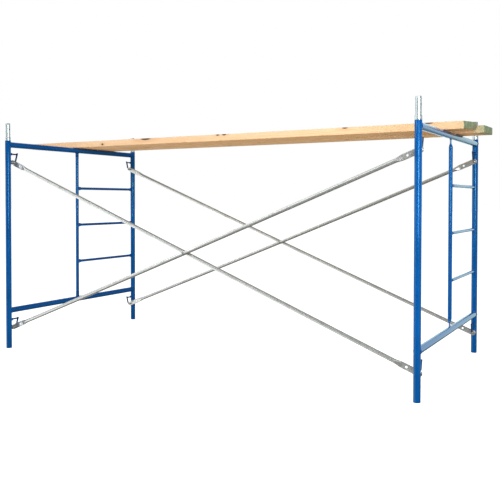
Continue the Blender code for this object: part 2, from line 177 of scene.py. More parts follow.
FRAMES = ("left", "right")
LEGS = {"near": 1, "far": -1}         # which way along Y the middle of the bay lies from the leg
LEVELS = ("lower", "upper")


# Meshes

def circle(radius, sides, z=0.0):
    """Points of a round section at height z."""
    turns = [index * math.tau / sides for index in range(sides)]
    return [Vector((radius * math.cos(turn), radius * math.sin(turn), z)) for turn in turns]


def stadium(half_wide, half_thin, z, shift, sides):
    """Points of a round or flattened section at height z, wide along X and thin along Y."""
    points = []
    for index in range(sides):
        turn = (index + 0.5) * math.tau / sides
        side = math.copysign(half_wide - half_thin, math.cos(turn))
        x = side + half_thin * math.cos(turn)
        points.append(Vector((x, shift + half_thin * math.sin(turn), z)))
    return points


def skin(build, rings, around=False, capped=False):
    """Join a row of equal rings with faces, as a closed loop of rings or with caps at both ends."""
    loops = [[build.verts.new(point) for point in ring] for ring in rings]
    pairs = list(zip(loops, loops[1:]))
    if around:
        pairs.append((loops[-1], loops[0]))
    faces = []
    for lower, upper in pairs:
        for index in range(len(lower)):
            after = (index + 1) % len(lower)
            faces.append(build.faces.new((lower[index], lower[after], upper[after], upper[index])))
    if capped:
        faces.append(build.faces.new(list(reversed(loops[0]))))
        faces.append(build.faces.new(loops[-1]))
    bmesh.ops.recalc_face_normals(build, faces=faces)


def turned(build, profile, sides, around=False):
    """A solid turned about Z from (z, radius) pairs, or a closed tube when the profile is a loop."""
    skin(build, [circle(radius, sides, z) for z, radius in profile], around, not around)


def rounded(points, radius, steps=3):
    """Round the inner corners of an open (z, radius) profile."""
    done = [points[0]]
    for before, here, after in zip(points, points[1:], points[2:]):
        here, before, after = Vector(here), Vector(before), Vector(after)
        back, ahead = before - here, after - here
        reach = min(radius, back.length * 0.45, ahead.length * 0.45)
        start, end = here + back.normalized() * reach, here + ahead.normalized() * reach
        for step in range(steps + 1):
            t = step / steps
            done.append(tuple(start * (1 - t) ** 2 + here * 2 * t * (1 - t) + end * t * t))
    return done + [points[-1]]


def finished(build, name, matrix=None):
    """Turn a bmesh into a mesh, shaded smooth apart from its sharp edges."""
    if matrix is not None:
        build.transform(matrix)
    mesh = bpy.data.meshes.new(name)
    build.to_mesh(mesh)
    build.free()
    mesh.shade_smooth()
    mesh.set_sharp_from_angle(angle=SHARP_ANGLE)
    return mesh


def combined(mesh, operation, others):
    """One mesh that is the first cut by, or joined with, the others."""
    helpers = []
    for item in (mesh, *others):
        helpers.append(bpy.data.objects.new("helper", item))
        bpy.context.scene.collection.objects.link(helpers[-1])
    for helper in helpers[1:]:
        step = helpers[0].modifiers.new("step", "BOOLEAN")
        step.operation = operation
        step.solver = "EXACT"
        step.object = helper
    graph = bpy.context.evaluated_depsgraph_get()
    result = bpy.data.meshes.new_from_object(helpers[0].evaluated_get(graph))
    for helper in helpers:
        bpy.data.objects.remove(helper, do_unlink=True)
    result.shade_smooth()
    result.set_sharp_from_angle(angle=SHARP_ANGLE)
    return result


def rod(start, end, radius, sides=SMALL_SIDES, ease=0.0):
    """A rod from one point to another, its ends rounded over by the given length."""
    span = Vector(end) - Vector(start)
    profile = [(0.0, radius), (span.length, radius)]
    if ease:
        turns = [math.radians(angle) for angle in (5, 35, 62, 90)]
        cap = [(ease * (1 - math.sin(turn)), radius - ease * (1 - math.cos(turn - math.pi / 2)))
               for turn in turns]
        profile = cap + [(span.length - z, r) for z, r in reversed(cap)]
    build = bmesh.new()
    turned(build, profile, sides)
    turn = span.to_track_quat("Z", "Y").to_matrix().to_4x4()
    return finished(build, "rod", Matrix.Translation(start) @ turn)


def bead(build, path, radius, centre, closed=True, seed=0.0):
    """A weld bead: a rippled round cord laid along a path that passes round a centre."""
    points = list(path) + ([path[0]] if closed else [])
    lengths = [0.0]
    for before, after in zip(points, points[1:]):
        lengths.append(lengths[-1] + (after - before).length)
    count = max(12, round(lengths[-1] / BEAD_RIPPLE) * 4)
    rings = []
    part = 0
    for index in range(count if closed else count + 1):
        along = lengths[-1] * index / count
        while part < len(points) - 2 and lengths[part + 1] < along:
            part += 1
        t = (along - lengths[part]) / (lengths[part + 1] - lengths[part])
        here = points[part].lerp(points[part + 1], t)
        tangent = (points[part + 1] - points[part]).normalized()
        out = here - Vector(centre)
        out = (out - tangent * out.dot(tangent)).normalized()
        side = tangent.cross(out)
        ripple = 0.5 + 0.5 * math.cos(math.tau * index / 4)
        rough = noise.noise(here * 160 + Vector((seed, 0, 0)))
        thick = radius * (0.86 + 0.14 * ripple + 0.22 * rough)
        if not closed:
            thick *= math.sqrt(max(0.12, 1 - (2 * index / count - 1) ** 6))
        ring = []
        for corner in range(BEAD_SIDES):
            turn = math.tau * corner / BEAD_SIDES
            ring.append(here + (out * math.cos(turn) + side * math.sin(turn)) * thick)
        rings.append(ring)
    skin(build, rings, around=closed, capped=not closed)


def saddle(reach, radius, onto, sides=SADDLE_POINTS, squeeze=1.0):
    """Points round the Y axis, where a tube along Y meets an upright one whose axis is at y = reach."""
    path = []
    for index in range(sides):
        turn = index * math.tau / sides
        x, z = radius * math.cos(turn) * squeeze, radius * math.sin(turn)
        path.append(Vector((x, reach - math.sqrt(max(onto ** 2 - x ** 2, 0.0)), z)))
    return path


# Node materials

class Nodes:
    """Shader nodes of one tree. Every input is another node's socket or a plain value."""

    def __init__(self, tree):
        self.tree = tree

    def add(self, kind, inputs=(), **settings):
        """Add a node, its inputs given by name or number."""
        made = self.tree.nodes.new("ShaderNode" + kind)
        for key, value in settings.items():
            setattr(made, key, value)
        for socket, value in dict(inputs).items():
            if isinstance(value, bpy.types.NodeSocket):
                self.tree.links.new(value, made.inputs[socket])
            else:
                made.inputs[socket].default_value = value
        return made

    def calc(self, operation, first, second=0.0, clamp=False):
        """A Math node's result."""
        made = self.add("Math", {0: first, 1: second}, operation=operation, use_clamp=clamp)
        return made.outputs[0]

    def times(self, first, second):
        """A product."""
        return self.calc("MULTIPLY", first, second)

    def plus(self, first, second, clamp=False):
        """A sum, held between 0 and 1 when clamped."""
        return self.calc("ADD", first, second, clamp)

    def minus(self, first, second):
        """A difference."""
        return self.calc("SUBTRACT", first, second)

    def ramp(self, value, low, high, start=0.0, end=1.0):
        """A smooth step of a value, from start at low to end at high."""
        made = self.add("MapRange", {0: value, 1: low, 2: high, 3: start, 4: end},
                        interpolation_type="SMOOTHSTEP")
        return made.outputs[0]

    def mix(self, factor, first, second):
        """A mix of two colours, each a socket or an RGB triple."""
        inputs = {0: factor}
        for socket, colour in ((6, first), (7, second)):
            inputs[socket] = colour if isinstance(colour, bpy.types.NodeSocket) else (*colour, 1.0)
        return self.add("Mix", inputs, data_type="RGBA").outputs[2]


def new_material(name, constants):
    """A material with the constant inputs set on its shader."""
    made = bpy.data.materials.new(name)
    made.use_nodes = True
    for socket, value in constants.items():
        made.node_tree.nodes["Principled BSDF"].inputs[socket.replace("_", " ")].default_value = value
    return made


class Coat(Nodes):
    """A material in the making, with the colour and the relief that are laid on it so far."""

    def __init__(self, name, **constants):
        self.material = new_material(name, constants)
        super().__init__(self.material.node_tree)
        self.colour = self.normal = None
        self.place = self.add("TexCoord").outputs
        # Each piece reads the patterns from a place of its own
        chance = self.add("ObjectInfo").outputs["Random"]
        spread = self.add("VectorMath", {0: (31.0, 17.0, 43.0), 3: chance}, operation="SCALE")
        shifted = self.add("VectorMath", {0: self.place["Object"], 1: spread.outputs[0]},
                           operation="ADD")
        self.own_place = shifted.outputs[0]

    def stretched(self, vector, scales, turn=(0.0, 0.0, 0.0)):
        """Coordinates turned, and scaled by a different amount along each axis."""
        return self.add("Mapping", {"Vector": vector, "Scale": scales, "Rotation": turn}).outputs[0]

    def noise(self, scale, detail=2.0, rough=0.5, turn=(0.0, 0.0, 0.0)):
        """A noise's value, at one scale or at a different scale along each axis."""
        vector = self.own_place
        if isinstance(scale, tuple):
            vector, scale = self.stretched(vector, scale, turn), 1.0
        made = self.add("TexNoise", {"Vector": vector, "Scale": scale, "Detail": detail,
                                     "Roughness": rough})
        return made.outputs["Fac"]

    def lay(self, factor, colour):
        """Lay a colour over what is there, as far as the factor says."""
        self.colour = self.mix(factor, self.colour, colour)

    def emboss(self, height, strength, distance):
        """Lay a bump over the relief that is there."""
        inputs = {"Height": height, "Strength": strength, "Distance": distance}
        if self.normal is not None:
            inputs["Normal"] = self.normal
        self.normal = self.add("Bump", inputs).outputs[0]

    def done(self, rough):
        """The material, with its colour, roughness and relief linked to the shader."""
        shader = self.tree.nodes["Principled BSDF"]
        for socket, result in (("Base Color", self.colour), ("Roughness", rough), ("Normal", self.normal)):
            self.tree.links.new(result, shader.inputs[socket])
        return self.material


def paint_material(name, deep, bright, scuffing, drawn="Z"):
    """Gloss enamel on steel tube: orange peel, uneven coverage, scuffs, chips and settled dust.

    Runs and scuffs are drawn out along the axis that the tube lies on."""
    runs_scale, scuff_scale = (tuple(coarse if letter == drawn else fine for letter in "XYZ")
                               for fine, coarse in ((90.0, 14.0), (620.0, 18.0)))
    coat = Coat(name, Specular_IOR_Level=0.5, Specular_Tint=(0.22, 0.66, 1.0, 1.0))
    facing_up = coat.add("SeparateXYZ", {0: coat.place["Normal"]}).outputs["Z"]
    coverage = coat.noise(5.0, 4.0, 0.55)
    coat.colour = coat.mix(coat.ramp(coverage, 0.3, 0.7), deep, bright)
    coat.lay(coat.ramp(coat.noise(runs_scale), 0.58, 0.8, 0.0, 0.35), deep)
    patches = coat.noise(9.0, 3.0)
    scuffs = coat.times(coat.ramp(coat.noise(scuff_scale, 1.0), 0.66, 0.74),
                        coat.ramp(patches, 0.52, 0.66))
    coat.lay(coat.times(scuffs, scuffing), SCUFFED_PAINT)
    dust = coat.times(coat.ramp(facing_up, 0.55, 1.0),
                      coat.ramp(coat.noise(38.0, 5.0, 0.7), 0.42, 0.75))
    coat.lay(coat.times(dust, 0.30), DUST)
    chips = coat.times(coat.ramp(coat.noise(74.0, 4.0, 0.62), 0.695, 0.705),
                       coat.ramp(patches, 0.50, 0.72))
    rusty = coat.ramp(coat.noise(210.0, 3.0), 0.40, 0.62)
    coat.lay(chips, coat.mix(rusty, BARE_STEEL, RUST))
    peel, sags = coat.noise(420.0, 2.0, 0.45), coat.noise(46.0)
    coat.emboss(peel, 0.10, 0.0005)
    coat.emboss(sags, 0.18, 0.0006)
    coat.emboss(coat.minus(1.0, chips), 0.45, 0.0003)
    rough = coat.ramp(coverage, 0.25, 0.8, 0.11, 0.19)
    rough = coat.plus(rough, coat.times(dust, 0.25))
    return coat.done(coat.plus(rough, coat.times(chips, 0.35), clamp=True))


def galvanised_material():
    """Hot-dipped brace tube: spangle, drawn streaks, dull patches and a few dark smudges."""
    coat = Coat("galvanised_tube", Metallic=0.80, Specular_IOR_Level=0.6)
    cells = coat.add("TexVoronoi", {"Vector": coat.stretched(coat.own_place, (95.0, 170.0, 170.0)),
                                    "Scale": 1.0, "Randomness": 1.0})
    spangle = coat.add("SeparateColor", {0: cells.outputs["Color"]}).outputs[0]
    streaks = coat.noise((9.0, 240.0, 240.0), 4.0, 0.6)
    clouds = coat.noise(7.0, 5.0, 0.62)
    coat.colour = coat.mix(spangle, ZINC_SHADES[0], ZINC_SHADES[1])
    coat.lay(coat.ramp(streaks, 0.42, 0.70, 0.0, 0.5), ZINC_STREAK)
    coat.lay(coat.ramp(clouds, 0.50, 0.78, 0.0, 0.55), ZINC_DULL)
    smudges = coat.times(coat.ramp(coat.noise(21.0, 4.0), 0.62, 0.72), coat.ramp(streaks, 0.38, 0.60))
    coat.lay(coat.times(smudges, 0.5), ZINC_SMUDGE)
    coat.emboss(streaks, 0.03, 0.0003)
    coat.emboss(coat.noise((24.0, 130.0, 130.0), 3.0), 0.02, 0.0004)
    rough = coat.ramp(spangle, 0.0, 1.0, 0.24, 0.28)
    return coat.done(coat.plus(rough, coat.ramp(clouds, 0.5, 0.8, 0.0, 0.16), clamp=True))


def zinc_material(name, light, dark):
    """Plated turned steel: fine rings from the lathe, rub marks and grime in patches."""
    coat = Coat(name, Metallic=0.78, Specular_IOR_Level=0.6)
    rings = coat.noise((20.0, 20.0, 1400.0))
    rubs = coat.noise((300.0, 300.0, 16.0), 3.0)
    grime = coat.noise((60.0, 60.0, 20.0), 5.0, 0.65)
    coat.colour = coat.mix(coat.ramp(rings, 0.3, 0.7), dark, light)
    coat.lay(coat.ramp(rubs, 0.55, 0.75, 0.0, 0.45), light)
    coat.lay(coat.ramp(grime, 0.56, 0.80, 0.0, 0.4), tuple(0.42 * part for part in dark))
    coat.emboss(rings, 0.10, 0.0002)
    coat.emboss(grime, 0.05, 0.0005)
    return coat.done(coat.ramp(grime, 0.35, 0.75, 0.26, 0.40))


def nearest_knot(coat, knots):
    """Distance from the nearest knot's heart, in that knot's own radii."""
    nearest = None
    for x, y, z, long, radius in knots:
        away = coat.add("VectorMath", {0: coat.place["Object"], 1: (x, y, z)}, operation="SUBTRACT")
        away = coat.stretched(away.outputs[0], (1.0 / long, 1.0 / radius, 1.0 / radius))
        reach = coat.add("VectorMath", {0: away}, operation="LENGTH").outputs["Value"]
        nearest = reach if nearest is None else coat.calc("MINIMUM", nearest, reach)
    return nearest


def late_wood(coat, across, up, pith, swell, ragged):
    """The dark part of each growth ring round a wandering pith line, bulging out past the knots."""
    wander = coat.times(coat.minus(coat.noise((0.55, 3.0, 3.0)), 0.5), 0.16)
    side = coat.plus(coat.minus(across, pith[0]), wander)
    rise = coat.plus(coat.minus(up, pith[1]), coat.times(wander, 0.6))
    radius = coat.calc("SQRT", coat.plus(coat.times(side, side), coat.times(rise, rise)))
    radius = coat.plus(coat.plus(radius, coat.times(swell, 0.012)), coat.times(ragged, 0.0022))
    ring = coat.calc("FRACT", coat.times(radius, RINGS_PER_METRE))
    return coat.times(coat.ramp(ring, 0.40, 0.90), coat.ramp(ring, 1.0, 0.93))


def lay_end_paint(coat, along, ragged, spray_and_shade):
    """Green sealer on a plank's ends, ragged at its edge and misted over the first stretch. The mist is
    partly real overspray and partly painted shade: heavier on the far plank, it darkens that plank's end
    stub.
    """
    inset = coat.calc("MINIMUM", coat.times(along, -1.0), coat.plus(along, PLANK_LENGTH))
    sealed = coat.ramp(coat.minus(inset, coat.times(ragged, 0.006)), 0.0035, -0.0005)
    # Misted end paint, partly real overspray and partly painted shade where its strength is raised on the
    # far plank
    misted_and_shaded = coat.ramp(coat.plus(inset, coat.times(ragged, 0.05)), 0.14, 0.03, 0.0, spray_and_shade)
    thin = coat.ramp(coat.noise(52.0, 5.0, 0.7), 0.66, 0.46, 0.55, 0.94)
    green = coat.mix(coat.ramp(coat.noise(24.0, 3.0), 0.4, 0.65), END_GREENS[0], END_GREENS[1])
    coat.lay(coat.times(coat.calc("MAXIMUM", sealed, misted_and_shaded), thin), green)


def timber_material(name, knots, pith, shades, spray_and_shade):
    """Sawn softwood: growth rings round a pith line, fibres, knots, saw marks, painted ends and painted
    shade towards the right end.
    """
    pale, warm, brown = shades
    coat = Coat(name, Specular_IOR_Level=0.32)
    place = coat.add("SeparateXYZ", {0: coat.place["Object"]})
    along, across, up = (place.outputs[axis] for axis in "XYZ")
    knot_reach = nearest_knot(coat, knots)
    knot_heart, swell = coat.ramp(knot_reach, 1.15, 0.55), coat.ramp(knot_reach, 3.6, 0.8)
    ragged = coat.noise((4.0, 60.0, 60.0), 3.0)
    late = late_wood(coat, across, up, pith, swell, ragged)
    fibres = coat.noise((7.0, 700.0, 700.0), 3.0, 0.6)
    clouds = coat.noise((1.3, 9.0, 9.0), 4.0, 0.6)
    coat.colour = coat.mix(coat.ramp(clouds, 0.32, 0.70), pale, warm)
    coat.lay(coat.times(late, 0.62), brown)
    coat.lay(coat.ramp(fibres, 0.52, 0.74, 0.0, 0.30), brown)
    coat.lay(coat.ramp(fibres, 0.46, 0.28, 0.0, 0.25), PALE_FIBRE)
    # Painted shade: the wood turns darker and browner over the last stretch towards each plank's right
    # end, standing in for light falling off there
    shade_towards_right_end = coat.ramp(along, -0.85, -0.15, 0.0, 0.85)
    coat.lay(shade_towards_right_end, coat.mix(clouds, pale, brown))
    stains = coat.noise((3.0, 12.0, 12.0), 5.0, 0.7)
    coat.lay(coat.ramp(stains, 0.60, 0.80, 0.0, 0.35), WOOD_STAIN)
    coat.lay(coat.times(swell, 0.25), KNOT_HALO)
    knot_rings = coat.calc("FRACT", coat.times(knot_reach, 3.4))
    coat.lay(knot_heart, coat.mix(coat.ramp(knot_rings, 0.2, 0.9), KNOT_BROWNS[0], KNOT_BROWNS[1]))
    lay_end_paint(coat, along, ragged, spray_and_shade)
    coat.emboss(fibres, 0.35, 0.0004)
    coat.emboss(coat.noise((170.0, 11.0, 11.0), turn=(0.0, 0.12, 0.10)), 0.22, 0.0007)
    coat.emboss(coat.times(late, -1.0), 0.25, 0.0004)
    coat.emboss(knot_heart, 0.4, 0.0012)
    return coat.done(coat.ramp(fibres, 0.3, 0.7, 0.58, 0.78))


# Placing

def middle(node):
    """Middle of a CAD node's box."""
    low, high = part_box(node)
    return (low + high) / 2


def leg_spot(which, leg, z=0.0):
    """A point on a leg's axis, at height z."""
    spot = middle(f"leg_{which}_{leg}")
    return Vector((spot.x, spot.y, z))


def put(node, mesh, material, spot=(0.0, 0.0, 0.0), turn=None):
    """Stand a piece in for a CAD node, on the node's own body."""
    piece = bpy.data.objects.new(node + "_piece", mesh)
    bpy.context.scene.collection.objects.link(piece)
    piece.matrix_world = Matrix.Translation(spot) @ (turn or Matrix.Identity(4))
    if not mesh.materials:
        mesh.materials.append(material)
    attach(piece, body_of(frame["nodes"][node])[0])
    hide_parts(node)
    return piece


def facing_bay(leg):
    """The turn that points a piece drawn along +Y into the bay."""
    return Matrix.Rotation(0.0 if LEGS[leg] > 0 else math.pi, 4, "Z")


# The welded frames

def make_legs(paint):
    """Four legs: cut tube, open at both ends, with its rims broken."""
    low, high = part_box("leg_left_near")
    height = high.z - low.z
    inner, ease = LEG_RADIUS - LEG_WALL, LEG_EASE
    rim = [(ease, inner), (0.0, inner + ease), (0.0, LEG_RADIUS - ease),
           (ease * 0.3, LEG_RADIUS - ease * 0.3), (ease, LEG_RADIUS)]
    steps = [height * part / 6 for part in range(1, 6)]
    profile = rim + [(z, LEG_RADIUS) for z in steps]
    profile += [(height - z, radius) for z, radius in reversed(rim)]
    profile += [(z, inner) for z in reversed(steps)]
    build = bmesh.new()
    turned(build, profile, LEG_SIDES, around=True)
    mesh = finished(build, "leg_tube")
    for which in FRAMES:
        for leg in LEGS:
            put(f"leg_{which}_{leg}", mesh, paint, leg_spot(which, leg, low.z),
                facing_bay(leg))


def rail_mesh(half_width, seed):
    """A rail along Y, coped round both legs and welded to them."""
    build = bmesh.new()
    rings = []
    for radius, order in ((LEG_RADIUS, 1), (LEG_RADIUS - LEG_WALL, -1)):
        for station in range(9)[::order]:
            ring = []
            for index in range(LEG_SIDES):
                turn = index * math.tau / LEG_SIDES
                x, z = radius * math.cos(turn), radius * math.sin(turn)
                end = half_width - math.sqrt(max((LEG_RADIUS + GAP) ** 2 - x * x, 0.0))
                ring.append(Vector((x, end * (station / 4 - 1), z)))
            rings.append(ring)
    skin(build, rings, around=True)
    for side in (-1, 1):
        path = saddle(half_width, LEG_RADIUS + 0.0009, LEG_RADIUS + 0.0012)
        path = [Vector((point.x, side * point.y, point.z)) for point in path]
        centre = (0.0, side * (half_width - LEG_RADIUS), 0.0)
        bead(build, path, RAIL_BEAD, centre, seed=seed + side)
    return finished(build, "rail_tube")


def flattened(build, length, radius, flat, flare, sides):
    """A straight tube along Z, pressed flat at both ends."""
    thin = THIN_WALL + FLAT_SLIT / 2
    wide = math.pi * radius / 2 - thin * (math.pi / 2 - 1)
    lower = [(0.0, wide, thin), (flat * 0.5, wide, thin)]
    steps = 8
    for step in range(steps + 1):
        ease = (step / steps) ** 2 * (3 - 2 * step / steps)
        lower.append((flat + flare * step / steps, wide + (radius - wide) * ease,
                      thin + (radius - thin) * ease))
    outer = lower + [(length * part, radius, radius) for part in (0.35, 0.5, 0.65)]
    outer += [(length - z, half_wide, half_thin) for z, half_wide, half_thin in reversed(lower)]
    rings = [stadium(half_wide, half_thin, z, 0.0, sides) for z, half_wide, half_thin in outer]
    for z, half_wide, half_thin in reversed(outer):
        rings.append(stadium(half_wide - THIN_WALL, half_thin - THIN_WALL, z, 0.0, sides))
    skin(build, rings, around=True)
    return wide, thin


def weld_flat_end(build, z, wide, thin, seed):
    """The weld round a flattened end, at height z."""
    path = stadium(wide + 0.0004, thin + 0.0004, z, 0.0, 40)
    bead(build, path, FLAT_BEAD, (0.0, 0.0, z), seed=seed)


def make_stiles(paint):
    """The upright in each frame that carries the rungs."""
    for seed, which in enumerate(FRAMES):
        node = f"ladder_stile_{which}"
        low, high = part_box(node)
        build = bmesh.new()
        wide, thin = flattened(build, high.z - low.z, STILE_RADIUS, STILE_FLAT, STILE_FLARE, TUBE_SIDES)
        weld_flat_end(build, 0.0006, wide, thin, seed * 3.0)
        weld_flat_end(build, high.z - low.z - 0.0006, wide, thin, seed * 3.0 + 1.5)
        mesh = finished(build, node, Matrix.Rotation(math.radians(90), 4, "Z"))
        put(node, mesh, paint, (middle(node).x, middle(node).y, low.z))


def make_rungs(paint):
    """Three rungs in each frame, from the stile to the far leg."""
    stand = Matrix(((0, 1, 0, 0), (0, 0, 1, 0), (1, 0, 0, 0), (0, 0, 0, 1)))
    for which in FRAMES:
        for index in (1, 2, 3):
            node = f"rung_{which}_{index}"
            low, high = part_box(node)
            build = bmesh.new()
            wide, thin = flattened(build, high.y - low.y, RUNG_RADIUS, RUNG_FLAT, RUNG_FLARE, TUBE_SIDES)
            weld_flat_end(build, 0.0004, wide, thin, index * 2.0)
            weld_flat_end(build, high.y - low.y - 0.0004, wide, thin, index * 2.0 + 1.0)
            mesh = finished(build, node, stand)
            put(node, mesh, paint, (middle(node).x, low.y, middle(node).z))


def make_rails(paint):
    """The top and bottom rail of each frame."""
    for which in FRAMES:
        half_width = (leg_spot(which, "far").y - leg_spot(which, "near").y) / 2
        for seed, level in enumerate(("top", "bottom")):
            node = f"{level}_rail_{which}"
            put(node, rail_mesh(half_width, seed * 5.0), paint, middle(node))


# Studs, brackets and drop locks, drawn on a leg at the origin and pointing along +Y

def stud_mesh():
    """A turned stud, coped and welded to the leg at its shoulder."""
    build = bmesh.new()
    shank = rounded([(SHOULDER_REACH, STUD_SHOULDER_RADIUS - 0.0008), (SHOULDER_REACH, STUD_RADIUS),
                     (STUD_REACH - 0.002, STUD_RADIUS), (STUD_REACH, STUD_RADIUS - 0.002)], 0.0007)
    profile = [(SHOULDER_REACH - 0.0008, STUD_SHOULDER_RADIUS)] + shank
    rings = [[Vector((point.x, -point.y, math.sqrt((LEG_RADIUS + GAP) ** 2 - point.x ** 2)))
              for point in circle(STUD_SHOULDER_RADIUS, TUBE_SIDES)]]
    rings += [circle(radius, TUBE_SIDES, z) for z, radius in profile]
    rings[1:] = [[Vector((point.x, -point.y, point.z)) for point in ring] for ring in rings[1:]]
    skin(build, rings, capped=True)
    build.transform(Matrix.Rotation(math.radians(-90), 4, "X"))
    path = saddle(0.0, STUD_SHOULDER_RADIUS + 0.0008, LEG_RADIUS + 0.0010, 48)
    path = [Vector((point.x, -point.y, point.z)) for point in path]
    bead(build, path, STUD_BEAD, (0.0, LEG_RADIUS, 0.0))
    return finished(build, "stud")


def bracket_line(half, bend):
    """One side of the bracket's bent plate in plan, from the leg round both bends and back."""
    line = [(half, math.sqrt((LEG_RADIUS + GAP) ** 2 - half ** 2))]
    for degrees in (0, 22.5, 45, 67.5, 90):
        turn = math.radians(degrees)
        line.append((BRACKET_WIDTH / 2 - BRACKET_BEND + bend * math.cos(turn),
                     BRACKET_FACE - BRACKET_BEND + bend * math.sin(turn)))
    return line + [(-x, y) for x, y in reversed(line)]


def bracket_mesh():
    """The channel that a lock's arm turns in: bent plate, pierced, and welded down both sides."""
    half, tall, ease = BRACKET_WIDTH / 2, BRACKET_HEIGHT / 2, 0.0005
    outer = bracket_line(half, BRACKET_BEND)
    inner = bracket_line(half - BRACKET_PLATE, BRACKET_BEND - BRACKET_PLATE)
    core = [((a[0] + b[0]) / 2, (a[1] + b[1]) / 2) for a, b in zip(outer, inner)]
    rings = []
    for z, pull in ((-tall, ease), (-tall + ease, 0.0), (tall - ease, 0.0), (tall, ease)):
        keep = 1 - pull / (BRACKET_PLATE / 2)
        rings.append([Vector((cx + (x - cx) * keep, cy + (y - cy) * keep, z))
                      for (x, y), (cx, cy) in zip(outer + inner[::-1], core + core[::-1])])
    build = bmesh.new()
    skin(build, rings, capped=True)
    plate = finished(build, "bracket")
    drill = rod((0.0, LEG_RADIUS, 0.0), (0.0, LOCK_REACH, 0.0), LOCK_HOLE_RADIUS)
    build = bmesh.new()
    build.from_mesh(combined(plate, "DIFFERENCE", [drill]))
    y = math.sqrt((LEG_RADIUS + 0.001) ** 2 - half ** 2) + 0.0008
    for side in (-1, 1):
        path = [Vector((side * (half + 0.0006), y, tall * part)) for part in (-0.9, 0.0, 0.9)]
        bead(build, path, BRACKET_BEAD, (0.0, y + 0.002, 0.0), closed=False, seed=side * 4.0)
    return finished(build, "bracket")


def lock_mesh():
    """A drop lock: a headed arm, and a stem that hangs in front of the stud's tip."""
    head_end = BRACKET_FACE - BRACKET_PLATE - GAP
    head_start = head_end - LOCK_HEAD_LENGTH
    profile = rounded([
        (head_start, LOCK_HEAD_RADIUS * 0.55), (head_start, LOCK_HEAD_RADIUS - 0.0004),
        (head_start + 0.0009, LOCK_HEAD_RADIUS), (head_end, LOCK_HEAD_RADIUS - 0.0002),
        (head_end, LOCK_ROD_RADIUS), (LOCK_REACH, LOCK_ROD_RADIUS),
    ], 0.0005, 2)
    build = bmesh.new()
    turned(build, profile, TUBE_SIDES)
    arm = finished(build, "lock", Matrix.Rotation(math.radians(-90), 4, "X"))
    slope = LOCK_STEM_LEAN / (LOCK_STEM_TOP + LOCK_STEM_DROP)
    top = (0.0, LOCK_REACH + slope * LOCK_STEM_TOP, LOCK_STEM_TOP)
    bottom = (0.0, LOCK_REACH - slope * LOCK_STEM_DROP, -LOCK_STEM_DROP)
    stem = rod(top, bottom, LOCK_STEM_RADIUS, TUBE_SIDES, ease=0.0018)
    build = bmesh.new()
    build.from_mesh(combined(arm, "UNION", [stem]))
    joint = LOCK_REACH - 0.0004
    path = saddle(joint, LOCK_ROD_RADIUS + 0.0005, LOCK_STEM_RADIUS + 0.0006, 32, squeeze=0.98)
    bead(build, path, LOCK_BEAD, (0.0, joint - LOCK_STEM_RADIUS, 0.0), seed=2.0)
    return finished(build, "lock")


def make_stud_sets(paint, dark_paint, zinc):
    """A stud, a bracket and a lock at two levels on every leg."""
    stud, bracket, lock = stud_mesh(), bracket_mesh(), lock_mesh()
    for which in FRAMES:
        for leg in LEGS:
            for level in LEVELS:
                label = f"{which}_{leg}_{level}"
                low_spot = leg_spot(which, leg, middle(f"brace_stud_{label}").z)
                high_spot = leg_spot(which, leg, middle(f"lock_bracket_{label}").z)
                turn = facing_bay(leg)
                put(f"brace_stud_{label}", stud, zinc, low_spot, turn)
                put(f"lock_bracket_{label}", bracket, paint, high_spot, turn)
                put(f"brace_lock_{label}", lock, dark_paint, high_spot, turn)


# Cross braces

def brace_bow(along, half_length):
    """How far a brace has sprung sideways, to pass its partner at the rivet."""
    reach = 1 - abs(along) / half_length
    return (BRACE_RADIUS + GAP) * (3 * reach - reach ** 3) / 2


def half_brace(half_length):
    """Stations (z, half_wide, half_thin) of half a brace, from its rounded tip to the rivet."""
    thin = THIN_WALL + FLAT_SLIT / 2
    tip = math.cos(math.radians(22))
    stations = []
    for degrees in (22, 30, 38, 47, 57, 68, 79, 90):
        turn = math.radians(degrees)
        stations.append((half_length + BRACE_EYE_RADIUS * math.cos(turn) / tip,
                         BRACE_EYE_RADIUS * math.sin(turn), thin))
    for part in (0.25, 0.5, 0.78):
        stations.append((half_length - BRACE_FLAT * part, BRACE_EYE_RADIUS, thin))
    steps = 12
    for step in range(steps + 1):
        ease = (step / steps) ** 2 * (3 - 2 * step / steps)
        wide = BRACE_EYE_RADIUS + (BRACE_RADIUS - BRACE_EYE_RADIUS) * ease
        stations.append((half_length - BRACE_FLAT - BRACE_FLARE * step / steps, wide,
                         thin + (BRACE_RADIUS - thin) * ease))
    free = half_length - BRACE_FLAT - BRACE_FLARE
    spans = 10
    for step in range(1, spans):
        stations.append((free * (1 - step / spans), BRACE_RADIUS, BRACE_RADIUS))
    return stations


